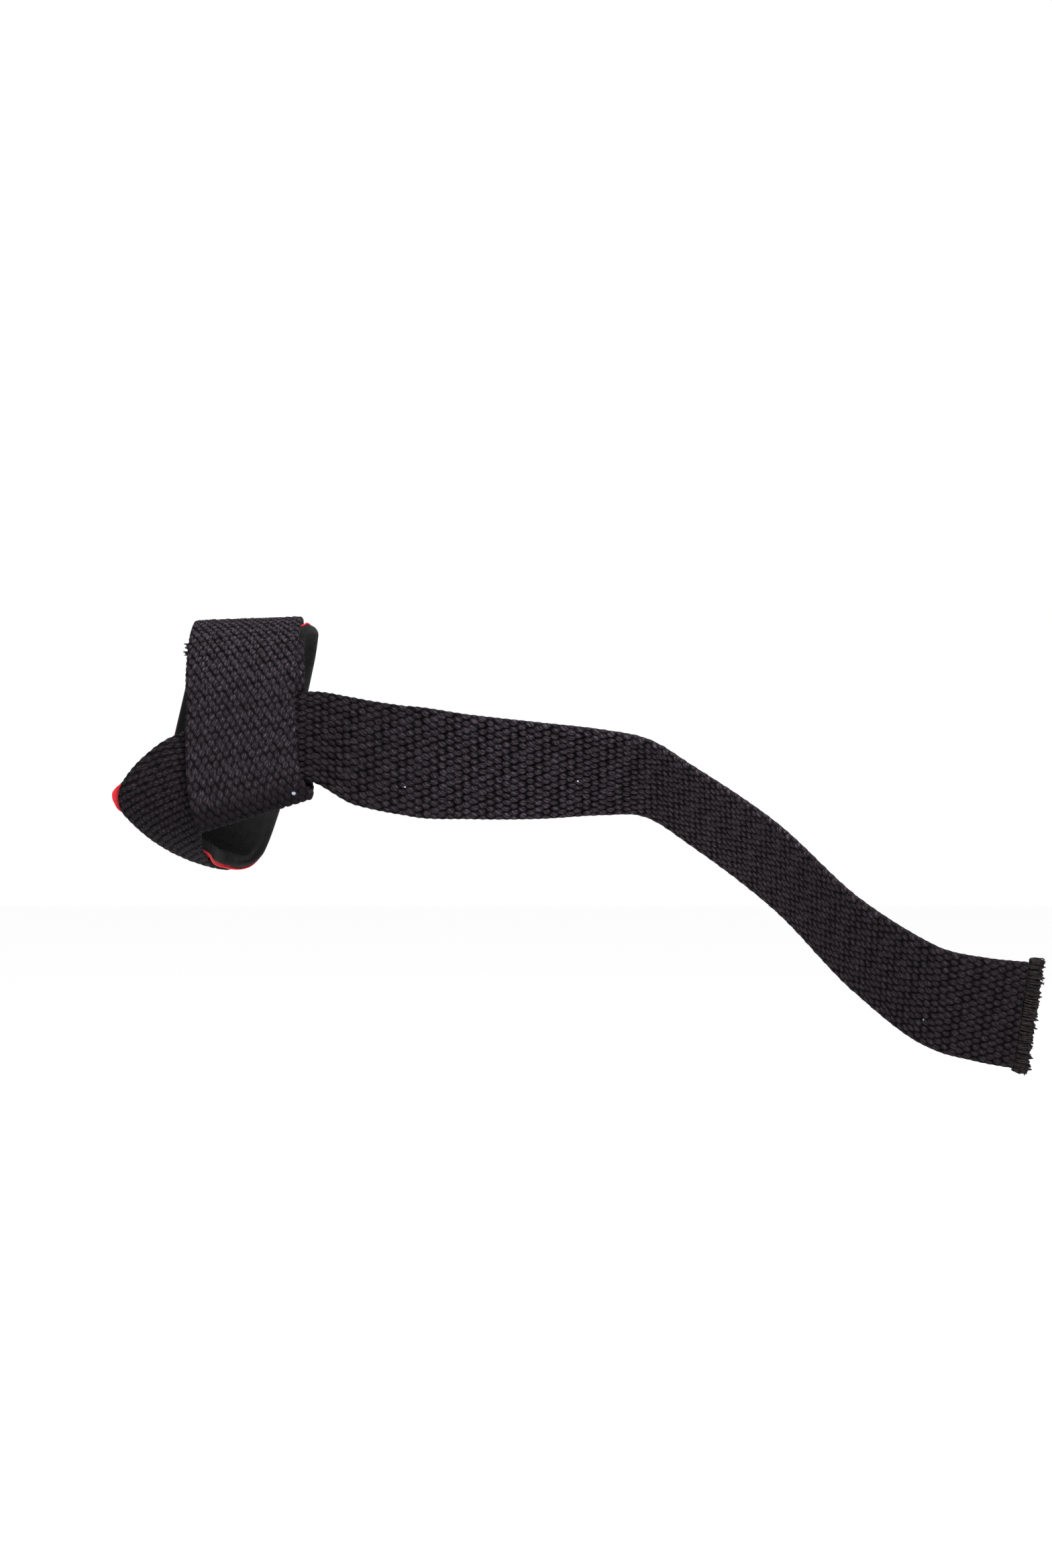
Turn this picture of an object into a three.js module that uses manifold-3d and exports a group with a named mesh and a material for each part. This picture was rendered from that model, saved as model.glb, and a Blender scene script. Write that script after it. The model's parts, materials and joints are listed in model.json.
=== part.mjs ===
import * as THREE from "three";
import { mergeVertices } from "three/addons/utils/BufferGeometryUtils.js";
import Module from "manifold-3d";

// Sizes of the cut pieces, in millimetres
const WEBBING_WIDTH = 38;
const WEBBING_THICKNESS = 2.5;
const FACING_THICKNESS = 1;
const CORE_THICKNESS = 4;
const PAD_OVERHANG = 2.6;
const PAD_CORNER = 7;
const PAD_FROM_ROW = 10.8;
const PAD_TO_ROW = 17;
const SEAM_FROM_ROW = 9.15;
const SEAM_TO_ROW = 10.1;
const SEAM_BITE = 0.2;
const SEAT = 0.3;

// How far a strip lies aside of the run's middle, by the share of its own length that is gone
const SEWN_SHIFT = [
  { gone: 0, aside: 2.6 },
  { gone: 1, aside: 1.6 },
];
const PAD_SHIFT = [
  { gone: 0, aside: 2.8 },
  { gone: 0.5, aside: 1.6 },
  { gone: 0.68, aside: 1.4 },
  { gone: 0.9, aside: -1.6 },
  { gone: 1, aside: -1.8 },
];
const NO_SHIFT = [
  { gone: 0, aside: 0 },
  { gone: 1, aside: 0 },
];

// How the strips are meshed: ring spacing, columns across a face, the bevel of a cut edge as shares
// of half the thickness, and how much of a rounded corner is cut away
const RING_STEP = 3.4;
const FACE_COLUMNS = 6;
const BEVEL_IN = 0.3;
const BEVEL_OUT = 0.72;
const CORNER_CUT = 0.9;

// The run of the webbing, one crosswise section a row, from the sewn return end to the free tip.
// x, y, z is the section's middle. lean is the way its right edge points, in degrees seen from the
// front, tilt is how far that edge turns to the back, wide is how wide it lies as a share of
// WEBBING_WIDTH and cup is how deep it is dished.
const RUN = [
  { at: "return layer", x: 4, y: -25.2, z: 20, lean: 0, tilt: 0, wide: 1, cup: 0 },
  { at: "return layer", x: 4.4, y: -24.2, z: 11, lean: 0, tilt: 0, wide: 1, cup: 0 },
  { at: "return layer", x: 4, y: -23.7, z: -5, lean: 3, tilt: 0, wide: 1, cup: 0 },
  { at: "return layer", x: 5.2, y: -23.5, z: -18, lean: 10, tilt: 0, wide: 1.013, cup: 0 },
  { at: "inside of fold", x: 6.9, y: -23.5, z: -27, lean: 16, tilt: 0, wide: 1.053, cup: 0 },
  { at: "fold", x: 6.6, y: -26.7, z: -31.6, lean: 17, tilt: 0, wide: 1.066, cup: 0 },
  { at: "outside of fold", x: 4.4, y: -29.8, z: -27, lean: 15.5, tilt: 0, wide: 1.058, cup: 0 },
  { at: "front layer", x: 2.2, y: -29.9, z: -18, lean: 11, tilt: 0, wide: 1.026, cup: 0 },
  { at: "front layer", x: 1.4, y: -29.9, z: 0, lean: 3, tilt: 0, wide: 1, cup: 0 },
  { at: "front layer", x: 1.5, y: -28.6, z: 16, lean: 0, tilt: 0, wide: 1, cup: 0 },
  { at: "over the seam", x: 2, y: -22.5, z: 28, lean: 1, tilt: 0, wide: 1, cup: 0 },
  { at: "top", x: 2.4, y: -3, z: 35.5, lean: 2, tilt: 0, wide: 1, cup: 0 },
  { at: "back", x: 0.5, y: 20, z: 26, lean: -6, tilt: 0, wide: 1, cup: 0 },
  { at: "back", x: -5.5, y: 28, z: 0, lean: -13, tilt: 5, wide: 1, cup: 0 },
  { at: "back", x: -12.5, y: 23, z: -28, lean: -20, tilt: 11, wide: 1, cup: 0.5 },
  { at: "bottom", x: -19.2, y: 11, z: -42.8, lean: -27, tilt: 16, wide: 1.026, cup: 2.2 },
  { at: "bottom", x: -26.6, y: -1, z: -43.6, lean: -31, tilt: 14, wide: 1.053, cup: 3.4 },
  { at: "turn up", x: -28, y: -12.5, z: -36.6, lean: -40, tilt: 7, wide: 1.026, cup: 2.5 },
  { at: "turn up", x: -23.2, y: -21.5, z: -27, lean: -56, tilt: 2, wide: 0.934, cup: 1 },
  { at: "pocket", x: -15.5, y: -26.2, z: -19, lean: -72, tilt: 0, wide: 0.816, cup: 0 },
  { at: "pocket", x: 5, y: -26.8, z: -11.5, lean: -78, tilt: 0, wide: 0.789, cup: 0 },
  { at: "pocket", x: 23.6, y: -26.9, z: -5, lean: -91, tilt: 0, wide: 0.803, cup: 0 },
  { at: "tail", x: 40.3, y: -28, z: -10.2, lean: -90, tilt: 4, wide: 0.974, cup: 0 },
  { at: "tail", x: 58.1, y: -29.5, z: -13.5, lean: -90, tilt: 8, wide: 1, cup: 0 },
  { at: "tail", x: 80.3, y: -31.5, z: -15.7, lean: -90, tilt: 20, wide: 1, cup: 0 },
  { at: "tail", x: 103.3, y: -34, z: -17, lean: -90, tilt: 30, wide: 1, cup: 0 },
  { at: "tail", x: 126.2, y: -36, z: -17.7, lean: -90, tilt: 41, wide: 1, cup: 0 },
  { at: "tail", x: 139.9, y: -39, z: -19.3, lean: -88, tilt: 46, wide: 1, cup: 0 },
  { at: "tail", x: 156.2, y: -53, z: -29.4, lean: -86, tilt: 44, wide: 1, cup: 0 },
  { at: "tail", x: 182.1, y: -82, z: -49, lean: -86, tilt: 39, wide: 1, cup: 0 },
  { at: "tail", x: 206.4, y: -112, z: -73.8, lean: -88, tilt: 35, wide: 1, cup: 0 },
  { at: "tail", x: 229, y: -130, z: -89.3, lean: -92, tilt: 31, wide: 1, cup: 0 },
  { at: "tail", x: 243, y: -132.5, z: -92.8, lean: -95, tilt: 27, wide: 0.985, cup: 0 },
  { at: "tip", x: 260, y: -132, z: -95.2, lean: -96, tilt: 19, wide: 0.965, cup: 0 },
];

// Places, directions and widths along a run of rows, about one ring every RING_STEP
function ringsAlong(rows) {
  const place = new THREE.CatmullRomCurve3(rows.map((r) => new THREE.Vector3(r.x, r.y, r.z)));
  const turn = new THREE.CatmullRomCurve3(rows.map((r) => new THREE.Vector3(r.lean, r.tilt, 0)));
  const shape = new THREE.CatmullRomCurve3(rows.map((r) => new THREE.Vector3(r.wide, r.cup, 0)));
  const last = rows.length - 1;
  const rings = [];
  for (let i = 0; i < last; i++) {
    const span = place.getPoint(i / last).distanceTo(place.getPoint((i + 1) / last));
    const steps = Math.max(2, Math.round(span / RING_STEP));
    for (let k = 0; k < steps + (i === last - 1 ? 1 : 0); k++) {
      const t = (i + k / steps) / last;
      const angle = turn.getPoint(t);
      const lean = THREE.MathUtils.degToRad(angle.x);
      const tilt = THREE.MathUtils.degToRad(angle.y);
      const along = place.getTangent(t);
      const across = new THREE.Vector3(
        Math.cos(lean) * Math.cos(tilt),
        Math.sin(tilt),
        Math.sin(lean) * Math.cos(tilt),
      );
      const inward = new THREE.Vector3().crossVectors(along, across).normalize();
      const { x: wide, y: cup } = shape.getPoint(t);
      const width = wide * WEBBING_WIDTH;
      rings.push({ row: i + k / steps, middle: place.getPoint(t), across, inward, width, cup });
    }
  }
  return rings;
}

// How far aside a strip lies where a share of its length is gone
function asideAt(shift, share) {
  const next = shift.findIndex((row, k) => k > 0 && row.gone >= share);
  const [from, to] = [shift[next - 1], shift[next]];
  return THREE.MathUtils.mapLinear(share, from.gone, to.gone, from.aside, to.aside);
}

// A closed strip that follows rings, from depth near to depth far on their inward side
function strip(rings, near, far, overhang = 0, corner = 0, shift = NO_SHIFT) {
  const round = (far - near) / 2;
  const centre = (far + near) / 2;
  const points = [];
  const faces = [];
  const gone = [0];
  for (let r = 1; r < rings.length; r++) {
    gone.push(gone[r - 1] + rings[r].middle.distanceTo(rings[r - 1].middle));
  }
  for (const [r, ring] of rings.entries()) {
    const toEnd = Math.min(gone[r], gone.at(-1) - gone[r], corner);
    const cut = corner - Math.sqrt(corner ** 2 - (corner - toEnd) ** 2);
    const half = ring.width / 2 + overhang - CORNER_CUT * cut;
    const aside = asideAt(shift, gone[r] / gone.at(-1));
    const bevelAt = half - BEVEL_IN * round;
    const bevelUp = BEVEL_OUT * round;
    const columnAt = (c) => (half - round) * ((2 * c) / FACE_COLUMNS - 1);
    const outline = [[half, 0], [bevelAt, bevelUp]];
    for (let c = FACE_COLUMNS; c >= 0; c--) outline.push([columnAt(c), round]);
    outline.push([-bevelAt, bevelUp], [-half, 0], [-bevelAt, -bevelUp]);
    for (let c = 0; c <= FACE_COLUMNS; c++) outline.push([columnAt(c), -round]);
    outline.push([bevelAt, -bevelUp]);
    for (const [w, n] of outline) {
      const depth = centre + n + ring.cup * ((w + aside) / (ring.width / 2)) ** 2;
      const point = ring.middle.clone().addScaledVector(ring.across, w + aside);
      points.push(point.addScaledVector(ring.inward, depth));
    }
  }
  const size = points.length / rings.length;
  for (let r = 0; r + 1 < rings.length; r++) {
    for (let k = 0; k < size; k++) {
      const a = r * size + k;
      const b = r * size + ((k + 1) % size);
      faces.push(a, b, b + size, a, b + size, a + size);
    }
  }
  for (const [start, flip] of [[0, true], [points.length - size, false]]) {
    for (let k = 1; k + 1 < size; k++) {
      const cap = [start, start + k, start + k + 1];
      faces.push(...(flip ? cap.reverse() : cap));
    }
  }
  const geometry = new THREE.BufferGeometry().setFromPoints(points);
  geometry.setIndex(faces);
  return geometry;
}

// Solids are joined as manifold bodies
const wasm = await Module();
wasm.setup();

function bodyOf(geometry) {
  const merged = mergeVertices(geometry, 1e-4);
  return new wasm.Manifold(
    new wasm.Mesh({
      numProp: 3,
      vertProperties: new Float32Array(merged.attributes.position.array),
      triVerts: new Uint32Array(merged.index.array),
    }),
  );
}

function geometryOf(body) {
  const mesh = body.getMesh();
  const geometry = new THREE.BufferGeometry();
  geometry.setAttribute("position", new THREE.BufferAttribute(mesh.vertProperties, 3));
  geometry.setIndex(new THREE.BufferAttribute(mesh.triVerts, 1));
  geometry.computeVertexNormals();
  return geometry;
}

// The webbing is one length: the return layer, the fold, and the run from the front layer to the
// tip. The last stretch of the return layer lies sewn against the inside of the front layer.
const rings = ringsAlong(RUN);
const between = (from, to) => rings.filter((ring) => ring.row >= from && ring.row <= to);
const halfThick = WEBBING_THICKNESS / 2;
const foldRow = RUN.findIndex((row) => row.at === "fold");
const sewnNear = halfThick - SEAM_BITE;
const sewnFar = sewnNear + WEBBING_THICKNESS;
const returnLayer = bodyOf(strip(between(0, foldRow), -halfThick, halfThick));
const mainRun = bodyOf(strip(between(foldRow, RUN.length - 1), -halfThick, halfThick));
const sewnRings = between(SEAM_FROM_ROW, SEAM_TO_ROW);
const sewnEnd = bodyOf(strip(sewnRings, sewnNear, sewnFar, 0, 0, SEWN_SHIFT));
const webbing = geometryOf(mainRun.add(returnLayer).add(sewnEnd));

// The pad lies on the inward side of the main loop: the facing against the webbing, then the core
const padRings = between(PAD_FROM_ROW, PAD_TO_ROW);
const facingNear = halfThick + SEAT;
const coreNear = facingNear + FACING_THICKNESS + SEAT;
const padLie = [PAD_OVERHANG, PAD_CORNER, PAD_SHIFT];
const facing = strip(padRings, facingNear, facingNear + FACING_THICKNESS, ...padLie);
const core = strip(padRings, coreNear, coreNear + CORE_THICKNESS, ...padLie);

const part = new THREE.Group();
function addPiece(name, geometry, color, roughness) {
  const mesh = new THREE.Mesh(geometry, new THREE.MeshStandardMaterial({ color, roughness }));
  mesh.name = name;
  part.add(mesh);
}
addPiece("strap_webbing", webbing, 0x1b1b1f, 0.9);
addPiece("pad_facing", facing, 0xc4141f, 0.85);
addPiece("pad_core", core, 0x3a3b40, 0.8);

export default part;
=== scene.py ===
import json
import math

import bpy
import numpy as np
from mathutils import Vector
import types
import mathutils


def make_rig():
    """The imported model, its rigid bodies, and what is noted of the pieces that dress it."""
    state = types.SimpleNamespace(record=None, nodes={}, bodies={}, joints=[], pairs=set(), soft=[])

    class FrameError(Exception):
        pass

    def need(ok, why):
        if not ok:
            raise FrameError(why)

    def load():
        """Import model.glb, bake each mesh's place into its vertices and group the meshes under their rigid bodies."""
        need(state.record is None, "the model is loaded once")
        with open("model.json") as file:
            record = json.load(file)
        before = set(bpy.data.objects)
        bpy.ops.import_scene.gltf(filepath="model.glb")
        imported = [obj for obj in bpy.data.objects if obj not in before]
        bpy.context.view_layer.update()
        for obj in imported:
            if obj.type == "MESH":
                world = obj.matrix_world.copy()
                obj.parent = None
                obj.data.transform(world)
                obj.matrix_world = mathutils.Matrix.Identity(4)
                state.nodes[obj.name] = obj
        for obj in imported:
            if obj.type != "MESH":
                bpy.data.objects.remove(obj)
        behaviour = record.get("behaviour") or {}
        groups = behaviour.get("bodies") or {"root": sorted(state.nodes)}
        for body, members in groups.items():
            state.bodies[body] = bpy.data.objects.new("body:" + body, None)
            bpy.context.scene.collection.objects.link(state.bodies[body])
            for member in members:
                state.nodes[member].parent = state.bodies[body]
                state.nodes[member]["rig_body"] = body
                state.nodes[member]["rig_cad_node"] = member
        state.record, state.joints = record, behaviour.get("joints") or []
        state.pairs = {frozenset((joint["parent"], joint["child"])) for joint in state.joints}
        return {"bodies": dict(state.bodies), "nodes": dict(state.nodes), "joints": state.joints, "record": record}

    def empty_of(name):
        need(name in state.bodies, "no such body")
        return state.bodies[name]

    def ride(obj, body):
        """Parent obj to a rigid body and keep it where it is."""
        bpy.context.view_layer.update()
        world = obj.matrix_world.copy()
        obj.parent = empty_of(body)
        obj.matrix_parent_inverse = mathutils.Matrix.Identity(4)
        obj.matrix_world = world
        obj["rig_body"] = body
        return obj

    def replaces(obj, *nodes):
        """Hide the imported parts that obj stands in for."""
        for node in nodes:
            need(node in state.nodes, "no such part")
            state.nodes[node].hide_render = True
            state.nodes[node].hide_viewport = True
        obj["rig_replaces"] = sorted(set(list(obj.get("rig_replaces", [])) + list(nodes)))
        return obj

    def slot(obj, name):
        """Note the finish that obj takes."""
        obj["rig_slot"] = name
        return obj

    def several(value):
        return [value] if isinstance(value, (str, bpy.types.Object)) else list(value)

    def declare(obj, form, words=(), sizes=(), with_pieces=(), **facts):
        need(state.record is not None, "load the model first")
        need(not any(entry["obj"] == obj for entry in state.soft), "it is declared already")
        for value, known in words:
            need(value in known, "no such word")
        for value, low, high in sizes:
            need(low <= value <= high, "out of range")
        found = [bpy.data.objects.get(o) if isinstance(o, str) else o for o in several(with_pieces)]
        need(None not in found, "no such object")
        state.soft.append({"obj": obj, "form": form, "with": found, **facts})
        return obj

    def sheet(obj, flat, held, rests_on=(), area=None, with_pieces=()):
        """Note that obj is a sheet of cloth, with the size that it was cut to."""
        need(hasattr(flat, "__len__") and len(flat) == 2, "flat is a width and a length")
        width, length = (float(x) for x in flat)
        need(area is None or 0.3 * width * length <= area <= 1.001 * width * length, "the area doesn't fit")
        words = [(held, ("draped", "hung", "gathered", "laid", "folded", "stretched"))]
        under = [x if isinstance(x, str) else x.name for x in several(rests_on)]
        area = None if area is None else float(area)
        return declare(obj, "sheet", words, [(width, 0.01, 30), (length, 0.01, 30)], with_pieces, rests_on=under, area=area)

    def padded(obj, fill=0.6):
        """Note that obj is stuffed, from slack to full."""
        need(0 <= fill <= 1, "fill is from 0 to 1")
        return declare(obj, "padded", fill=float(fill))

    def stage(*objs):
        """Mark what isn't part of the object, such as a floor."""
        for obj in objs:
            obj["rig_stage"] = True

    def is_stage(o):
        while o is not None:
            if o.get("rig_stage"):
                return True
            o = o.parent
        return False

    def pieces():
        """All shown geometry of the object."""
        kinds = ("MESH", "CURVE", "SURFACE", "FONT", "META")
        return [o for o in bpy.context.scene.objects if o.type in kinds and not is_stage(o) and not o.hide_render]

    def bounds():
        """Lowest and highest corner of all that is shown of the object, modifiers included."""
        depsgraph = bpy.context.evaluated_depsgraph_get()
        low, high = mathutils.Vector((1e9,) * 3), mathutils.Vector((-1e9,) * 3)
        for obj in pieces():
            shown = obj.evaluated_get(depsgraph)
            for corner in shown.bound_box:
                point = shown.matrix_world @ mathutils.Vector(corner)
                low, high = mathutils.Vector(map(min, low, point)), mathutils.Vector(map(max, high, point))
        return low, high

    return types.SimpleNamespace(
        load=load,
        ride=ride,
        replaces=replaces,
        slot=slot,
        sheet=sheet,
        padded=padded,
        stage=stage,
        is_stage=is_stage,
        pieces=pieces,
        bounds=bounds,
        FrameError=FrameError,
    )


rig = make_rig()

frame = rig.load()
cad_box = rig.bounds()

# The studio: a plain pale floor under the part, a white room all round it, and one large soft lamp
# above and in front, to the right. The camera looks level at the strap from the front.
FLOOR_Z = -0.33
FLOOR_HALF = 8.0
FLOOR_WHITE = (0.97, 0.97, 0.97, 1)
FLOOR_ROUGHNESS = 0.8
ROOM_WHITE = (1.0, 1.0, 1.0, 1.0)
ROOM_STRENGTH = 1.0
CAMERA_PLACE = (0.0996, -1.3, -0.0215)
CAMERA_LENS = 84.8
CAMERA_SENSOR = 36.0
LAMP_PLACE = (0.35, -0.8, 0.8)
LAMP_AIM = (0.05, -0.03, -0.02)
LAMP_SIZE = 0.6
LAMP_WATTS = 52.0

scene = bpy.context.scene
scene.view_settings.view_transform = "Standard"
world = bpy.data.worlds.new("white_room")
world.use_nodes = True
room = world.node_tree.nodes["Background"]
room.inputs["Color"].default_value = ROOM_WHITE
room.inputs["Strength"].default_value = ROOM_STRENGTH
scene.world = world

floor_mesh = bpy.data.meshes.new("floor")
floor_corners = [(x * FLOOR_HALF, y * FLOOR_HALF, FLOOR_Z) for x, y in ((-1, -1), (1, -1), (1, 1), (-1, 1))]
floor_mesh.from_pydata(floor_corners, [], [(0, 1, 2, 3)])
floor = bpy.data.objects.new("floor", floor_mesh)
scene.collection.objects.link(floor)
floor_paint = bpy.data.materials.new("pale_floor")
floor_paint.use_nodes = True
floor_shader = floor_paint.node_tree.nodes["Principled BSDF"]
floor_shader.inputs["Base Color"].default_value = FLOOR_WHITE
floor_shader.inputs["Roughness"].default_value = FLOOR_ROUGHNESS
floor_mesh.materials.append(floor_paint)
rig.stage(floor)

lamp_data = bpy.data.lights.new("key_lamp", "AREA")
lamp_data.shape = "DISK"
lamp_data.size = LAMP_SIZE
lamp_data.energy = LAMP_WATTS
lamp = bpy.data.objects.new("key_lamp", lamp_data)
lamp.location = LAMP_PLACE
lamp_way = Vector(LAMP_AIM) - Vector(LAMP_PLACE)
lamp.rotation_euler = lamp_way.to_track_quat("-Z", "Y").to_euler()
scene.collection.objects.link(lamp)

camera_data = bpy.data.cameras.new("front_camera")
camera_data.sensor_fit = "VERTICAL"
camera_data.sensor_height = CAMERA_SENSOR
camera_data.lens = CAMERA_LENS
camera_data.clip_start = 0.01
camera = bpy.data.objects.new("front_camera", camera_data)
camera.location = CAMERA_PLACE
camera.rotation_euler = (math.pi / 2, 0.0, 0.0)
scene.collection.objects.link(camera)
scene.camera = camera

# The webbing: one length of black cotton, plain woven with thick two-ply warp yarns that cover the
# weft. Its return end is folded back and sewn on, the rest makes the wrist loop, goes through the
# end loop and hangs away as the tail. It is meshed in four stretches that meet ring for ring.
MM = 0.001
WEBBING_WIDTH = 38.0
WEBBING_THICKNESS = 2.5
YARN_COUNT = 31
YARN_PITCH = WEBBING_WIDTH / YARN_COUNT
RING_STEP = 0.56
FINE_STEPS = 60
FACE_POINTS = 141
EDGE_POINTS = 9
# x, y, z of a section's middle in mm, the lean and tilt of its right edge in degrees, how wide it
# lies as a share of the webbing's width, how deep it is dished, and how plump its yarns stand
RUN = np.array([
    (3.8, -19.6, 27.2, 1, 0, 1, 0, 0.5),
    (3.9, -22.4, 24.5, 1, 0, 1, 0, 0.5),
    (4.1, -24.5, 20.3, 0, 0, 1, 0, 0.5),
    (4.4, -24.2, 11, 0, 0, 1, 0, 0.5),
    (4, -23.7, -5, 3, 0, 1, 0, 0.5),
    (5.2, -23.5, -18, 10, 0, 1.013, 0, 0.5),
    (6.9, -23.5, -27, 16, 0, 1.053, 0, 0.55),
    (6.6, -26.7, -31.6, 17, 0, 1.066, 0, 0.6),
    (4.4, -29.8, -27, 15.5, 0, 1.058, 0, 0.55),
    (2.2, -29.9, -18, 11, 0, 1.026, 0, 0.5),
    (1.4, -29.9, 0, 3, 0, 1, 0, 0.5),
    (1.5, -28.6, 16, 0, 0, 1, 0, 0.5),
    (2, -22.5, 28, 1, 0, 1, 0, 0.75),
    (2.4, -3, 35.5, 2, 0, 1, 0, 0.8),
    (0.5, 20, 26, -6, 0, 1, 0, 0.45),
    (-5.5, 28, 0, -13, 5, 1, 0, 0.45),
    (-12.5, 23, -28, -20, 11, 1, 0.5, 0.45),
    (-19.2, 11, -42.8, -27, 16, 1.026, 2.2, 0.45),
    (-26.6, -1, -43.6, -31, 14, 1.053, 3.4, 0.4),
    (-28, -12.5, -36.6, -40, 7, 1.026, 2.5, 0.4),
    (-23.2, -21.5, -27, -56, 2, 0.934, 1, 0.4),
    (-15.5, -26.2, -19, -72, 0, 0.816, 0, 0.45),
    (5, -26.8, -11.5, -78, 0, 0.789, 0, 0.6),
    (23.6, -26.9, -5, -91, 0, 0.803, 0, 0.95),
    (40.3, -28, -10.2, -90, 4, 0.974, 0, 1.1),
    (58.1, -29.5, -13.5, -90, 8, 1, 0, 1.1),
    (80.3, -31.5, -15.7, -90, 20, 1, 0, 1.1),
    (103.3, -34, -17, -90, 30, 1, 0, 1.1),
    (126.2, -36, -17.7, -90, 41, 1, 0, 1.05),
    (139.9, -39, -19.3, -88, 46, 1, 0, 0.9),
    (156.2, -53, -29.4, -86, 44, 1, 0, 0.7),
    (182.1, -82, -49, -86, 39, 1, 0, 0.62),
    (206.4, -112, -73.8, -88, 35, 1, 0, 0.68),
    (229, -130, -89.3, -92, 31, 1, 0, 0.78),
    (243, -132.5, -92.8, -95, 27, 0.985, 0, 0.8),
    (260, -132, -95.2, -96, 19, 0.965, 0, 0.8),
])
# How the weave lies along RUN: row, spacing of the weft picks in mm, how far the picks run aslant,
# how far a warp float runs aslant of the webbing, and how far it stands up, as a share
WEAVE = np.array([
    (0, 2.4, 0, -0.2, 0.9), (7, 2.6, 0, -0.05, 0.9), (9, 2.6, 0.12, -0.08, 0.9),
    (10, 2.3, 0.21, -0.25, 0.9), (11, 2.05, 0.27, -0.45, 0.9), (12, 2.05, 0.25, -0.45, 0.9),
    (13, 2.3, 0.1, -0.4, 0.9),
    (15, 2.4, 0, 0.0, 0.8), (17, 2.4, 0, 0.5, 0.75), (20.5, 2.4, 0, 0.5, 0.75), (22, 2.6, 0, 0.1, 0.8),
    (24, 2.8, 0, -0.1, 1), (30, 2.75, 0, 0, 1), (33, 2.45, 0, 0, 1), (35, 2.4, 0.03, 0, 1),
])
# Stretches of the webbing: name, first and last row of RUN, how the cloth is held there and on what
STRETCHES = (
    ("end_loop_webbing", 0, 13.5, "folded", "wrist_loop_webbing"),
    ("wrist_loop_webbing", 13.5, 22, "stretched", "pad_red_facing"),
    ("tail_webbing", 22, 29.8, "hung", "end_loop_webbing"),
    ("tip_webbing", 29.8, 35, "hung", "tail_webbing"),
)


def curve_through(points, at):
    """Points of the smooth curve through rows of points, at row numbers."""
    ends = np.vstack([2 * points[0] - points[1], points, 2 * points[-1] - points[-2]])
    i = np.clip(np.floor(at).astype(int), 0, len(points) - 2)
    w = (at - i)[:, None]
    p0, p1, p2, p3 = (ends[i + k] for k in range(4))
    d0, d1, d2 = (np.linalg.norm(b - a, axis=1)[:, None] ** 0.5 for a, b in ((p0, p1), (p1, p2), (p2, p3)))
    d1 = np.where(d1 < 1e-4, 1.0, d1)
    d0 = np.where(d0 < 1e-4, d1, d0)
    d2 = np.where(d2 < 1e-4, d1, d2)
    t1 = d1 * ((p1 - p0) / d0 - (p2 - p0) / (d0 + d1) + (p2 - p1) / d1)
    t2 = d1 * ((p2 - p1) / d1 - (p3 - p1) / (d1 + d2) + (p3 - p2) / d2)
    return p1 + t1 * w + (3 * p2 - 3 * p1 - 2 * t1 - t2) * w**2 + (2 * p1 - 2 * p2 + t1 + t2) * w**3


class Lie:
    """How the webbing lies at row numbers: its middle line, the ways across and inward, its width."""

    def __init__(self, at):
        at = np.atleast_1d(np.asarray(at, float))
        tiny = 0.003
        ahead = curve_through(RUN[:, :3], np.minimum(at + tiny, len(RUN) - 1))
        along = ahead - curve_through(RUN[:, :3], np.maximum(at - tiny, 0))
        lean, tilt = np.radians(curve_through(RUN[:, 3:5], at)).T
        self.row = at
        self.middle = curve_through(RUN[:, :3], at)
        self.along = along / np.linalg.norm(along, axis=1)[:, None]
        self.across = np.stack([np.cos(lean) * np.cos(tilt), np.sin(tilt), np.sin(lean) * np.cos(tilt)], 1)
        inward = np.cross(self.along, self.across)
        self.inward = inward / np.linalg.norm(inward, axis=1)[:, None]
        wide, self.dish = curve_through(RUN[:, 5:7], at).T
        self.half = wide * WEBBING_WIDTH / 2
        self.plump = np.interp(at, np.arange(len(RUN)), RUN[:, 7])

    def point(self, aside, depth):
        """Points at a distance aside of the middle line and a depth on the inward side, ring by ring."""
        deep = depth + self.dish[:, None] * (aside / self.half[:, None]) ** 2
        to_side = self.across[:, None] * aside[..., None]
        return self.middle[:, None] + to_side + self.inward[:, None] * deep[..., None]


def jitter(*cells):
    """A steady number from 0 to 1 for each cell of a grid."""
    mixed = np.sin(sum(c * k for c, k in zip(cells, (12.9898, 78.233, 37.719)))) * 43758.5453
    return mixed - np.floor(mixed)


# a warp yarn in mm: how high a float rises and how full its arch is, how high and wide the yarn's
# round top is, and the shares of that width under the weft and swelled over it
FLOAT_RISE = 0.46
FLOAT_FULLNESS = 0.75
YARN_HEIGHT = 0.7
YARN_HALF = 0.96
YARN_NARROW = 0.95
YARN_SWELL = 0.26
# a yarn's slow wander along its length: share of a pick, turns a mm, and offset from yarn to yarn
WANDERS = ((0.1, 0.21, 1.7), (0.07, 0.57, 2.9))
# how unlike each other the floats are, in rise, width, slant and place
RISE_STRAY = 0.55
WIDTH_STRAY = 0.2
SLANT_STRAY = 0.4
PLACE_STRAY = 0.25


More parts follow.
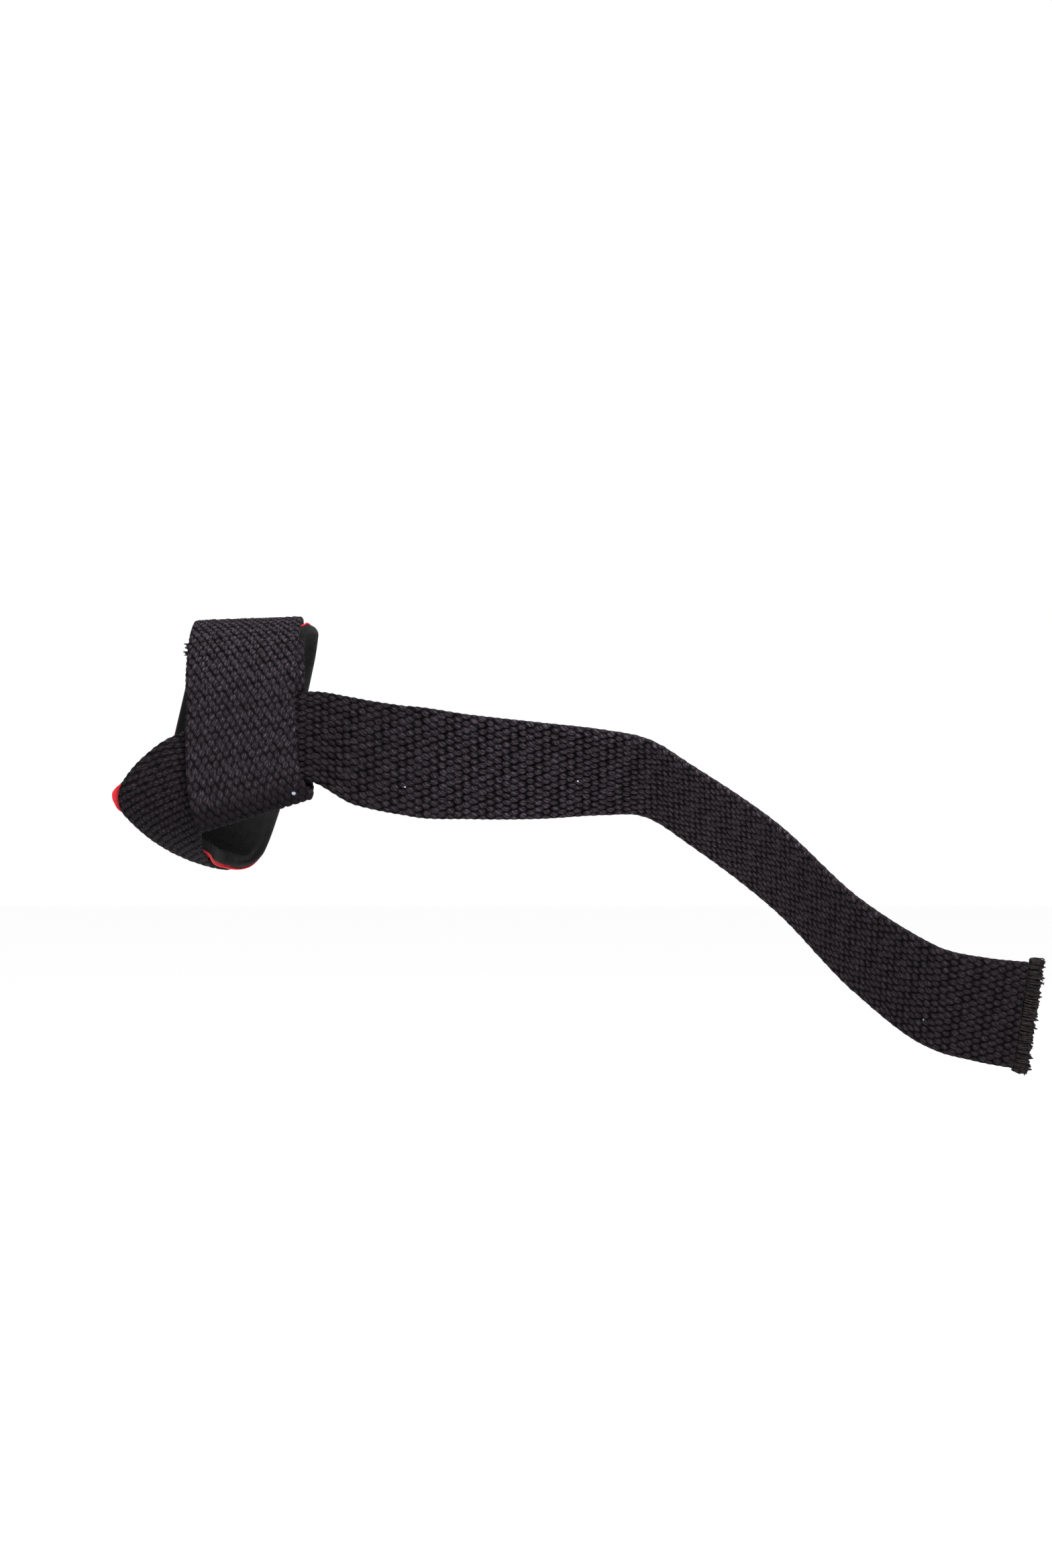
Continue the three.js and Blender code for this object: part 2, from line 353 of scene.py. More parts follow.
def weave(picks, slant, stand, along, aside, face):
    """Height of the yarns over a face, in mm, and where on its yarn each point lies, from -1 to 1."""
    height = np.full(along.shape, -9.0)
    place = np.zeros_like(height)
    nearest = np.round(aside / YARN_PITCH)
    for step in (-1, 0, 1):
        yarn = np.clip(nearest + step, -(YARN_COUNT // 2), YARN_COUNT // 2)
        wander = sum(share * np.sin(along * turn + yarn * offset) for share, turn, offset in WANDERS)
        phase = picks + wander + yarn + (0 if face < 0 else 1)
        local = np.mod(phase + 1, 2) - 1
        pick = np.floor((phase + 1) / 2)
        own, other, third = (jitter(yarn, pick + k, np.full_like(yarn, face)) - 0.5 for k in (0, 31, 57))
        swell = np.cos(np.pi * local)
        full = np.sign(swell) * np.abs(swell) ** FLOAT_FULLNESS
        rise = stand * FLOAT_RISE * (1 + RISE_STRAY * own) * full
        half = YARN_HALF * (YARN_NARROW + YARN_SWELL * stand * swell + WIDTH_STRAY * other)
        middle = yarn * YARN_PITCH + (slant + SLANT_STRAY * third) * local + PLACE_STRAY * other
        off = (aside - middle) / half
        top = rise + YARN_HEIGHT * (np.sqrt(np.clip(1 - off**2, 0, 1)) - 1)
        higher = top > height
        height = np.where(higher, top, height)
        place = np.where(higher, off, place)
    return np.maximum(height, -FLOAT_RISE - YARN_HEIGHT), place


fine_rows = np.linspace(0, len(RUN) - 1, FINE_STEPS * len(RUN))
fine_middle = curve_through(RUN[:, :3], fine_rows)
fine_gone = np.concatenate([[0], np.cumsum(np.linalg.norm(np.diff(fine_middle, axis=0), axis=1))])
run_length = fine_gone[-1]
ring_gone = np.linspace(0, run_length, int(run_length / RING_STEP) + 1)
ring_rows = np.interp(ring_gone, fine_gone, fine_rows)


def gone_at(row):
    """How far along the webbing a row of RUN is, in mm."""
    return float(np.interp(row, fine_rows, fine_gone))


# the selvedge: how far its round reaches in, the weft's turns that stand out of it, the painted light
# and shade on those turns, and how flat the outermost yarn is pulled
EDGE_REACH = 0.7
LOOP_BUMP = 0.36
LOOP_MIDDLE = 0.6
LOOP_PAINTED_SHADE = (0.6, -0.15)
EDGE_PULL = 0.5
# how deep the yarns lie in the webbing's thickness, in mm
YARN_SINK = 0.3
# between flat yarns the gaps are shallow and take less painted shade
FLAT_SHADE = 0.86
SHADE_LEVEL = 0.35
# the seam's thread and the thread round the cut end draw the webbing in, by mm and over mm
SEAM_ROWS = (11.83, 11.97)
RETURN_SEAM = (1.8, 3.7)
OVERLOCK_WIDE = 4.0
DRAW_DEEP = 0.38
DRAW_WIDE = 0.6
# lengthwise ribs, where the webbing is drawn together on its way out of the end loop: row and mm
RIB_RISE = ((22, 0), (22.8, 0.35), (23.6, 0.5), (24.6, 0.25), (26, 0))
RIB_PITCH = 6.1
RIB_WANDER = 0.8
RIB_WANDER_LENGTH = 17

lie = Lie(ring_rows)
half_thick = WEBBING_THICKNESS / 2
edge_share = EDGE_REACH * half_thick / (WEBBING_WIDTH / 2)
face_across = np.linspace(-1, 1, FACE_POINTS) * (1 - edge_share)
edge_angle = np.linspace(0, np.pi, EDGE_POINTS + 2)[1:-1]
edge_out = 1 - edge_share * (1 - np.sin(edge_angle))
# one ring: the outer face from right to left, the left edge, the inner face, the right edge
ring_aside = np.concatenate([face_across[::-1], -edge_out, face_across, edge_out])
ring_depth = np.concatenate([
    -np.ones(FACE_POINTS), -np.cos(edge_angle), np.ones(FACE_POINTS), np.cos(edge_angle),
])
along_grid = np.repeat(ring_gone[:, None], len(ring_aside), 1)
cloth_aside = np.repeat(ring_aside[None] * WEBBING_WIDTH / 2, len(ring_gone), 0)
pick_spacing = np.interp(fine_rows, WEAVE[:, 0], WEAVE[:, 1])
picks_gone = np.concatenate([[0], np.cumsum(np.diff(fine_gone) / pick_spacing[1:])])
skewed = along_grid - np.interp(ring_rows, WEAVE[:, 0], WEAVE[:, 2])[:, None] * cloth_aside
picks = np.interp(skewed, fine_gone, picks_gone)
slant, stand = (np.interp(ring_rows, WEAVE[:, 0], WEAVE[:, k])[:, None] for k in (3, 4))
outer_height, outer_place = weave(picks, slant, stand, along_grid, cloth_aside, -1)
inner_height, inner_place = weave(picks, slant, stand, along_grid, cloth_aside, 1)
facing_in = (ring_depth[None] + 1) / 2
yarn_height = outer_height * (1 - facing_in) + inner_height * facing_in
yarn_place = np.where(ring_depth[None] < 0, outer_place, inner_place)
# at the selvedge the weft turns round the outermost yarn and stands out as a row of small loops
on_edge = np.clip(1 - np.abs(ring_depth[None]), 0, 1)
weft_turn = np.abs(np.cos(np.pi * picks))
loop_bump = LOOP_BUMP * (weft_turn - LOOP_MIDDLE)
# painted light and shade on the selvedge: the weft's turns are lighter where they bulge and darker between them
yarn_height = yarn_height * (1 - on_edge) + (LOOP_PAINTED_SHADE[0] * weft_turn + LOOP_PAINTED_SHADE[1]) * on_edge
from_edge = WEBBING_WIDTH / 2 - np.abs(cloth_aside)
pulled = 1 - EDGE_PULL * np.clip(1 - from_edge / (2 * YARN_PITCH), 0, 1)
plump = lie.plump[:, None]
lift = plump * pulled * yarn_height * (1 - on_edge) + loop_bump * on_edge
gap_shade = np.clip(FLAT_SHADE + plump - 0.5, FLAT_SHADE, 1)
# the height that paints shade into the yarn colour: gaps and sunk floats darker, crests lighter
shade_height = SHADE_LEVEL + (yarn_height - SHADE_LEVEL) * gap_shade
drawn_in = [gone_at(row) for row in SEAM_ROWS] + list(RETURN_SEAM) + [run_length - OVERLOCK_WIDE]
for place in drawn_in:
    lift = lift - DRAW_DEEP * np.exp(-(((along_grid - place) / DRAW_WIDE) ** 2)) * (1 - on_edge)
rib_rise = np.interp(ring_rows, *zip(*RIB_RISE))[:, None]
rib_wander = RIB_WANDER * np.sin(along_grid / RIB_WANDER_LENGTH)
ribs = rib_rise * np.sin(cloth_aside * 2 * np.pi / RIB_PITCH + rib_wander)
out_depth = ring_depth[None] * (half_thick - YARN_SINK + lift * np.abs(ring_depth[None])) + ribs
edge_push = np.sign(ring_aside)[None] * lift * on_edge
webbing_points = lie.point(ring_aside[None] * lie.half[:, None] + edge_push, out_depth) * MM
ring_next = np.roll(webbing_points, -1, 1) - np.roll(webbing_points, 1, 1)
webbing_normals = np.cross(np.gradient(webbing_points, axis=0), ring_next)
webbing_normals /= np.maximum(np.linalg.norm(webbing_normals, axis=2), 1e-12)[..., None]


def mesh_piece(name, points, polygons):
    """A smooth-shaded object from points and polygons, linked to the scene."""
    mesh = bpy.data.meshes.new(name)
    mesh.from_pydata(points.reshape(-1, 3).tolist(), [], polygons)
    mesh.polygons.foreach_set("use_smooth", np.ones(len(mesh.polygons), bool))
    piece = bpy.data.objects.new(name, mesh)
    scene.collection.objects.link(piece)
    return piece


def skin_of(rings, points):
    """Quads round a stack of closed rings, with a cap on each end."""
    r, k = np.meshgrid(np.arange(rings - 1), np.arange(points), indexing="ij")
    a, b = r * points + k, r * points + (k + 1) % points
    quads = np.stack([a, a + points, b + points, b], -1).reshape(-1, 4).tolist()
    last = (rings - 1) * points
    return quads + [list(range(points)), list(range(last, last + points))[::-1]]


class Wire:
    """A socket of a material's node tree, with arithmetic that adds Math nodes."""

    def __init__(self, tree, socket=None):
        self.tree = tree
        self.socket = socket

    def add(self, kind, settings=None, sockets=None, out=0):
        """Adds a node, sets its settings first and then the values or links of its sockets."""
        node = self.tree.nodes.new("ShaderNode" + kind)
        for key, value in (settings or {}).items():
            if key == "stops":
                ramp = node.color_ramp.elements
                while len(ramp) < len(value):
                    ramp.new(0.5)
                for element, (place, colour) in zip(ramp, value):
                    element.position = place
                    element.color = colour
            else:
                setattr(node, key, value)
        for key, value in (sockets or {}).items():
            if isinstance(value, Wire):
                self.tree.links.new(value.socket, node.inputs[key])
            else:
                node.inputs[key].default_value = value
        return Wire(self.tree, node.outputs[out])

    def maths(self, operation, *values):
        """Adds a Math node on values or numbers."""
        return self.add("Math", {"operation": operation}, dict(enumerate(values)))

    def __add__(self, other):
        return self.maths("ADD", self, other)

    def __sub__(self, other):
        return self.maths("SUBTRACT", self, other)

    def __rsub__(self, other):
        return self.maths("SUBTRACT", other, self)

    def __mul__(self, other):
        return self.maths("MULTIPLY", self, other)

    def __pow__(self, other):
        return self.maths("POWER", self, other)

    __radd__ = __add__
    __rmul__ = __mul__

    def ramp(self, low, high):
        """0 below low, 1 above high, smooth between them."""
        return self.add("MapRange", {"interpolation_type": "SMOOTHSTEP"}, {0: self, 1: low, 2: high})

    def mix(self, other, share):
        """This colour, with a share of the other."""
        return self.add("Mix", {"data_type": "RGBA"}, {0: share, 6: self, 7: other}, 2)


def finish_of(name, roughness, sheen, specular=0.25):
    """A new material, a Wire on its tree, and its shader node."""
    material = bpy.data.materials.new(name)
    material.use_nodes = True
    shader = material.node_tree.nodes["Principled BSDF"]
    shader.inputs["Roughness"].default_value = roughness
    shader.inputs["Specular IOR Level"].default_value = specular
    shader.inputs["Sheen Weight"].default_value = sheen
    shader.inputs["Sheen Roughness"].default_value = 0.5
    return material, Wire(material.node_tree), shader


# colours of the black cotton: painted shade in the valleys, a shaded and a lit yarn tone, pale loose fibres that are
# partly painted sheen, and lint
VALLEY_SHADE = (0.0003, 0.00025, 0.0003, 1)
YARN_SHADED = (0.0034, 0.0026, 0.0033, 1)
YARN_LIT = (0.039, 0.03, 0.0378, 1)
PALE_FIBRE_SHEEN = (0.15, 0.13, 0.145, 1)
LINT = (0.2, 0.22, 0.28, 1)
# specks of lint caught in the yarns: row of RUN, mm aside, radius
LINT_AT = ((7.75, 14.4, 0.75), (25.0, 9.0, 0.3), (27.6, 3.0, 0.35), (32.9, 9.0, 0.35))
TWIST_ANGLE = math.radians(32)
FIBRE_LENGTH = 1.7
FIBRE_WIDTH = 0.24
PLY_TURN = -2.0
PLIES_SEEN = 0.95
TWIST_STRAY = 9.0
GRAIN_DEEP = 0.0003
# how pale the cotton is along its length, partly wear and mostly painted light and shade: row of RUN
# and share of the pale tone. The top of the front band is painted lighter; the fold, the wrist loop and
# the stretch where the tail leaves the end loop are painted darker, and the tip is darker too
LIGHT_SHADE_AND_WEAR = (
    (0, 0.6), (6, 0.55), (7, 0.06), (7.9, 0.1), (8.4, 0.48), (9.2, 0.6), (10.5, 0.59), (12.2, 0.9),
    (17, 0.55), (20, 0.45), (23, 0.32), (24.5, 0.4), (26, 0.66), (28.5, 1.0), (30.5, 0.92), (33, 0.45),
    (34.2, 0.31), (35, 0.28),
)
cotton, wire, cotton_shader = finish_of("black_cotton", 0.9, 0.0, 0.04)
cloth = wire.add("UVMap", {"uv_map": "cloth"})
along_mm = wire.add("SeparateXYZ", {}, {0: cloth})
aside_mm = wire.add("SeparateXYZ", {}, {0: cloth}, 1)
crest = wire.add("Attribute", {"attribute_name": "yarn_height"}, None, 2)
on_yarn = wire.add("Attribute", {"attribute_name": "yarn_place"}, None, 2)
flat_noise = {"noise_dimensions": "2D"}
twist_stray = wire.add("TexNoise", flat_noise, {"Vector": cloth, "Scale": 0.55, "Detail": 1.0})
ply_turn = on_yarn * (2 * math.pi * PLIES_SEEN) + along_mm * (2 * math.pi / PLY_TURN)
ply_turn = ply_turn + twist_stray * TWIST_STRAY
ply = wire.maths("SINE", ply_turn) * 0.5 + 0.5
turn_cos, turn_sin = math.cos(TWIST_ANGLE), math.sin(TWIST_ANGLE)
strand_along = (along_mm * turn_cos + aside_mm * turn_sin) * (1 / FIBRE_LENGTH)
strand_across = (aside_mm * turn_cos - along_mm * turn_sin) * (1 / FIBRE_WIDTH)
strand = wire.add("CombineXYZ", {}, {0: strand_along, 1: strand_across})
fibres = wire.add("TexNoise", flat_noise, {"Vector": strand, "Scale": 1.0, "Detail": 3.0})
patches = wire.add("TexNoise", flat_noise, {"Vector": cloth, "Scale": 0.35, "Detail": 3.0})
light_shade_and_wear_stops = [(gone_at(row) / run_length, (share, share, share, 1)) for row, share in LIGHT_SHADE_AND_WEAR]
# painted light and shade along the length, with wear
light_shade_and_wear = wire.add("ValToRGB", {"stops": light_shade_and_wear_stops}, {0: along_mm * (1 / run_length)})
# painted light and shade on the yarns: raised floats and ply ridges lighter, sunk floats and the gaps between plies
# darker; with the fibre streaks and the light, shade and wear along the length this mixes the shaded and the lit yarn
# tone
raised = crest.ramp(-0.2, 0.46)
ply_lit = ply.ramp(0.05, 0.75) * 0.85 + 0.15
fibre_lit = fibres.ramp(0.25, 0.75) * 0.7 + 0.3
strand_lit = light_shade_and_wear * raised * ply_lit * fibre_lit
yarn_tone = wire.add("Mix", {"data_type": "RGBA"}, {0: strand_lit, 6: YARN_SHADED, 7: YARN_LIT}, 2)
# painted shade in the valleys between the yarns
valley_shaded_tone = yarn_tone.mix(VALLEY_SHADE, 1 - crest.ramp(-0.5, 0.12))
# pale loose fibres on the raised floats: partly the fibres' own colour, partly painted sheen
fibres_and_sheen = light_shade_and_wear * fibres.ramp(0.58, 0.9) * raised * patches.ramp(0.3, 0.75)
lint_tone = valley_shaded_tone.mix(PALE_FIBRE_SHEEN, fibres_and_sheen)
for row, aside, radius in LINT_AT:
    lint_off = (along_mm - gone_at(row)) ** 2 + (aside_mm - aside) ** 2
    lint_tone = lint_tone.mix(LINT, 1 - lint_off.ramp(0.3 * radius**2, radius**2))
wire.tree.links.new(lint_tone.socket, cotton_shader.inputs["Base Color"])
grain = ply + fibres * 0.5
yarn_grain = wire.add("Bump", {}, {"Strength": 1.0, "Distance": GRAIN_DEEP, "Height": grain})
wire.tree.links.new(yarn_grain.socket, cotton_shader.inputs["Normal"])

webbing = {}
ring_size = len(ring_aside)
ring_gap = run_length / (len(ring_gone) - 1)
for name, from_row, to_row, held, rests_on in STRETCHES:
    first, last = (int(round(gone_at(row) / ring_gap)) for row in (from_row, to_row))
    part = slice(first, last + 1)
    rings = last + 1 - first
    piece = mesh_piece(name, webbing_points[part], skin_of(rings, ring_size))
    mesh = piece.data
    corners = np.empty(len(mesh.loops), int)
    mesh.loops.foreach_get("vertex_index", corners)
    cloth_uv = np.stack([along_grid[part].ravel(), cloth_aside[part].ravel()], 1)
    mesh.uv_layers.new(name="cloth").data.foreach_set("uv", cloth_uv[corners].ravel())
    for field, values in (("yarn_height", shade_height), ("yarn_place", yarn_place)):
        layer = mesh.attributes.new(field, "FLOAT", "POINT")
        layer.data.foreach_set("value", values[part].ravel().astype(np.float32))
    mesh.normals_split_custom_set_from_vertices(webbing_normals[part].reshape(-1, 3).tolist())
    mesh.materials.append(cotton)
    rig.ride(piece, "root")
    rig.replaces(piece, "strap_webbing")
    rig.slot(piece, "cotton_webbing")
    flat = (WEBBING_WIDTH * MM, (ring_gone[last] - ring_gone[first]) * MM)
    webbing[name] = (piece, flat, held, [rests_on])
for name in ("wrist_loop_webbing", "tail_webbing"):
    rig.sheet(*webbing[name])

# The pad's foam: dark grey neoprene about 4 mm thick, on the side that lies on the wrist. It is cut
# with rounded corners, a little wider than the webbing, and sewn to it at both ends.
PAD_ROWS = (12.8, 19.15)
# how far each edge stands out past the webbing: row of RUN and mm
PAD_LEFT = (
    (12.8, -0.2), (15.7, 1.0), (17.2, 0.9), (17.8, 1.7), (18.35, 1.85), (18.6, 2.5), (19.15, 3.6),
)
PAD_RIGHT = (
    (12.8, 5.4), (15.7, 4.2), (16.7, 4.0), (17.2, 2.8), (17.8, 1.8), (18.4, 1.3), (19.15, 1.3),
)
# how far each edge bends out round the webbing's edge: row of RUN and mm, in full at an overhang in mm
LEFT_FLARE = (
    (16.8, 0), (17.5, 3.0), (17.8, 3.6), (18.3, 3.5), (18.8, 3.2), (19.0, 2.2), (19.15, 0.8),
)
LEFT_FULL = 2.0
RIGHT_FLARE = (
    (12.8, 0.8), (13.6, 0.8), (14.6, 0), (16.2, 0), (17.0, 1.4), (17.6, 1.8), (18.6, 1.8), (19.15, 1.2),
)
RIGHT_FULL = 1.2
# how much thinner the pad is for each mm of flare, and at the most
FLARE_THINS = 0.16
FLARE_THINNEST = 0.3
# corner radii: first end, last end on the left, last end on the right
CORE_CORNERS = (9.0, 10.0, 7.0)
CORNER_CUT = 0.9
# how far the right edge curls in to the wrist at the first end, and over what length that fades
PAD_CURL = 2.2
PAD_CURL_LENGTH = 30.0
# depths from the webbing's middle, and how far the cut edge is rounded
CORE_DEPTH = (2.42, 6.5)
CORE_EDGE = 1.4
END_THINNEST = 0.12
PAD_STEP = 0.9
PAD_FACE_POINTS = 49
PAD_EDGE_POINTS = 7


def pad_layer(name, near, far, right_edge, corners, edge_round):
    """A closed layer of the pad from one depth to another, with its cut edge rounded."""
    span = gone_at(PAD_ROWS[1]) - gone_at(PAD_ROWS[0])
    gone = np.linspace(0, span, int(span / PAD_STEP) + 1)
    pad_lie = Lie(np.interp(gone + gone_at(PAD_ROWS[0]), fine_gone, fine_rows))
    first, left_last, right_last = [
        CORNER_CUT * (radius - np.sqrt(radius**2 - np.clip(radius - to_end, 0, None) ** 2))
        for radius, to_end in zip(corners, (gone, span - gone, span - gone))
    ]
    to_end = np.minimum(gone, span - gone)
    left = pad_lie.half + np.interp(pad_lie.row, *zip(*PAD_LEFT)) - np.maximum(first, left_last)
    right = pad_lie.half + np.interp(pad_lie.row, *zip(*right_edge)) - np.maximum(first, right_last)
    half, shift = (left + right) / 2, (right - left) / 2
    thick = (far - near) / 2
    angle = np.linspace(0, np.pi, PAD_EDGE_POINTS + 2)[1:-1]
    face = np.linspace(-1, 1, PAD_FACE_POINTS)
    level, edge = np.ones(PAD_FACE_POINTS), np.ones(PAD_EDGE_POINTS)
    wide = np.concatenate([face[::-1], -edge, face, edge])
    tuck = np.concatenate([level, 1 - np.sin(angle), level, 1 - np.sin(angle)])
    deep = np.concatenate([-level, -np.cos(angle), level, np.cos(angle)])
    end_squash = np.clip(to_end / edge_round, END_THINNEST, 1) ** 0.5
    aside = wide[None] * (half[:, None] - edge_round * tuck[None]) + shift[:, None]
    depth = (near + far) / 2 + deep[None] * thick * end_squash[:, None]
    past_right = aside - pad_lie.half[:, None]
    past_left = -aside - pad_lie.half[:, None]
    curl = np.clip(past_right / PAD_RIGHT[0][1], 0, 1) ** 2
    depth = depth + PAD_CURL * curl * np.clip(1 - gone / PAD_CURL_LENGTH, 0, 1)[:, None]
    left_flare = np.interp(pad_lie.row, *zip(*LEFT_FLARE))[:, None]
    right_flare = np.interp(pad_lie.row, *zip(*RIGHT_FLARE))[:, None]
    flare = left_flare * np.clip(past_left / LEFT_FULL, 0, 1)
    flare = flare + right_flare * np.clip(past_right / RIGHT_FULL, 0, 1)
    thinned = np.clip(1 - FLARE_THINS * flare, FLARE_THINNEST, 1)
    depth = near + (depth - near) * thinned - flare
    piece = mesh_piece(name, pad_lie.point(aside, depth) * MM, skin_of(len(gone), len(wide)))
    mesh = piece.data
    corners = np.empty(len(mesh.loops), int)
    mesh.loops.foreach_get("vertex_index", corners)
    flat_aside = wide[None] * half[:, None] + deep * thick
    flat_uv = np.stack([np.repeat(gone, len(wide)), flat_aside.ravel()], 1)
    mesh.uv_layers.new(name="cloth").data.foreach_set("uv", flat_uv[corners].ravel())
    return piece, span


FOAM_GREY = (0.004, 0.0037, 0.0038, 1)
FOAM_LIGHT = (0.0095, 0.0088, 0.009, 1)
PORE_DEEP = 0.0003
foam, wire, foam_shader = finish_of("neoprene", 0.95, 0.02, 0.06)
cloth = wire.add("UVMap", {"uv_map": "cloth"})
flat_cells = {"voronoi_dimensions": "2D"}
cells = wire.add("TexVoronoi", flat_cells, {"Vector": cloth, "Scale": 1.6})
cloudy = wire.add("TexNoise", flat_noise, {"Vector": cloth, "Scale": 0.3, "Detail": 5.0})
foam_tone = wire.add("Mix", {"data_type": "RGBA"}, {0: cloudy, 6: FOAM_GREY, 7: FOAM_LIGHT}, 2)
wire.tree.links.new(foam_tone.socket, foam_shader.inputs["Base Color"])
foam_skin = cells + cloudy * 2.0
pores = wire.add("Bump", {}, {"Strength": 0.8, "Distance": PORE_DEEP, "Height": foam_skin})
wire.tree.links.new(pores.socket, foam_shader.inputs["Normal"])
core, pad_length = pad_layer("pad_foam", *CORE_DEPTH, PAD_RIGHT, CORE_CORNERS, CORE_EDGE)
core.data.materials.append(foam)
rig.ride(core, "root")
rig.replaces(core, "pad_core")
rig.slot(core, "neoprene_foam")
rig.padded(core, 0.9)

# The pad's facing: a thin red knit, bonded to the foam on the webbing side and cut with it. It shows
# as a red edge where the pad stands out past the webbing.
PAD_OVERHANG = 2.6
FACING_RIGHT = ((12.8, 2.6), (14.2, 3.0), *PAD_RIGHT[1:])
FACING_CORNERS = (9.0, 9.0, 4.0)
FACING_DEPTH = (1.65, 2.4)
FACING_EDGE = 0.4
RED_SHADED = (0.2, 0.003, 0.0065, 1)
RED_LIT = (0.44, 0.0085, 0.016, 1)
KNIT_DEEP = 0.0001
knit, wire, knit_shader = finish_of("red_knit", 0.85, 0.05, 0.15)
cloth = wire.add("UVMap", {"uv_map": "cloth"})
loops = wire.add("TexVoronoi", flat_cells, {"Vector": cloth, "Scale": 2.0})
# painted shade on the knit: the loops' tops lighter, the gaps between them darker, following the bump
red_tone = wire.add("Mix", {"data_type": "RGBA"}, {0: 1 - loops, 6: RED_SHADED, 7: RED_LIT}, 2)
wire.tree.links.new(red_tone.socket, knit_shader.inputs["Base Color"])
knit_loops = wire.add("Bump", {"invert": True}, {"Strength": 0.4, "Distance": KNIT_DEEP, "Height": loops})
wire.tree.links.new(knit_loops.socket, knit_shader.inputs["Normal"])
facing, _ = pad_layer("pad_red_facing", *FACING_DEPTH, FACING_RIGHT, FACING_CORNERS, FACING_EDGE)
facing.data.materials.append(knit)
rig.ride(facing, "root")
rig.replaces(facing, "pad_facing")
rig.slot(facing, "red_knit")
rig.sheet(facing, ((WEBBING_WIDTH + 2 * PAD_OVERHANG) * MM, pad_length * MM), "laid", ["pad_foam"])

# The thread: black polyester. Two rows of lock stitches, seen on both layers, hold the return end on,
# one row holds each end of the pad, and an overlock wraps the cut tip with its loops close together.
STITCH_LENGTH = 2.7
STITCH_RADIUS = 0.24
STITCH_POINTS = 7
# rows of stitches: half their width, how deep they lie under the face, how far their ends dip
SEAM_ROW = (18.0, 0.56, 0.7)
TIP_ROW = (18.6, 0.35, 0.6)
PAD_ROW = (15.0, 0.1, -0.9)
PAD_ROW_FROM_END = 3.2
TIP_ROW_FROM_OVERLOCK = 0.3
OVERLOCK_HALF = 19.6
OVERLOCK_STEP = 0.42
OVERLOCK_RADIUS = 0.23
OVERLOCK_LEAN = 0.4
# how unlike each other the overlock's loops are, in mm: each loop as a whole, and point by point
# along it and across it
LOOP_STRAY = 0.25
LOOP_ROUGH_ALONG = 0.07
LOOP_ROUGH_ACROSS = 0.1
# how an overlock loop goes round the cut edge: mm beyond the end, depth in the webbing
OVERLOCK_LOOP = (
    (-3.9, -0.6), (-3.5, -1.3), (-2.2, -1.5), (-0.8, -1.42), (0.2, -1.0), (0.5, 0),
    (0.2, 1.0), (-0.8, 1.42), (-2.2, 1.5), (-3.5, 1.3), (-3.9, 0.6),
)


def strand_mesh(name, strands, sides=6):
    """One mesh of many closed round strands, each a line of points and its radius along it, in mm."""
    points, polygons, start = [], [], 0
    around = np.linspace(0, 2 * np.pi, sides, endpoint=False)
    for line, radius in strands:
        line = np.asarray(line, float)
        tangent = np.gradient(line, axis=0)
        tangent /= np.linalg.norm(tangent, axis=1)[:, None]
        flat_way = np.linalg.svd(line - line.mean(0))[2][2]
        side = np.cross(tangent, flat_way)
        side /= np.maximum(np.linalg.norm(side, axis=1), 1e-9)[:, None]
        other = np.cross(tangent, side)
        rim = side[:, None] * np.cos(around)[None, :, None] + other[:, None] * np.sin(around)[None, :, None]
        radius = np.broadcast_to(radius, len(line))[:, None, None]
        points.append((line[:, None] + rim * radius).reshape(-1, 3))
        polygons += [[start + k for k in face[::-1]] for face in skin_of(len(line), sides)]
        start += len(points[-1])
    return mesh_piece(name, np.concatenate(points) * MM, polygons)


def at_gone(gone, aside, depth):
    """Points on the webbing, by how far along it, how far aside and how deep, in mm."""
    gone, aside, depth = np.broadcast_arrays(*(np.asarray(v, float) for v in (gone, aside, depth)))
    inside = np.clip(gone, 0, run_length)
    there = Lie(np.interp(inside, fine_gone, fine_rows))
    return there.point(aside[:, None], depth[:, None])[:, 0] + there.along * (gone - inside)[:, None]


def stitch_row(gone, wide, depth, sink):
    """A row of lock stitches across the webbing, each dipping into the cloth at both ends."""
    row = []
    for left in np.arange(-wide, wide - STITCH_LENGTH / 2, STITCH_LENGTH):
        aside = left + STITCH_LENGTH * np.linspace(0.08, 0.92, STITCH_POINTS)
        dip = sink * np.abs(np.linspace(-1, 1, STITCH_POINTS)) ** 3
        row.append((at_gone(np.full(STITCH_POINTS, gone), aside, depth + dip), STITCH_RADIUS))
    return row


THREAD_DARK = (0.0006, 0.0005, 0.0005, 1)
THREAD_LIGHT = (0.0115, 0.0086, 0.0088, 1)
thread, wire, thread_shader = finish_of("black_thread", 0.8, 0.0, 0.08)
place = wire.add("TexCoord", {}, None, 3)
plies = wire.add("TexNoise", {}, {"Vector": place, "Scale": 900.0, "Detail": 4.0}).ramp(0.3, 0.75)
thread_tone = wire.add("Mix", {"data_type": "RGBA"}, {0: plies, 6: THREAD_DARK, 7: THREAD_LIGHT}, 2)
wire.tree.links.new(thread_tone.socket, thread_shader.inputs["Base Color"])

seam_strands = []
wide, under, sink = SEAM_ROW
for gone in [gone_at(row) for row in SEAM_ROWS] + list(RETURN_SEAM):
    seam_strands += stitch_row(gone, wide, -half_thick + under, sink)
wide, under, sink = PAD_ROW
for gone in (gone_at(PAD_ROWS[0]) + PAD_ROW_FROM_END, gone_at(PAD_ROWS[1]) - PAD_ROW_FROM_END):
    seam_strands += stitch_row(gone, wide, CORE_DEPTH[1] - under, sink)

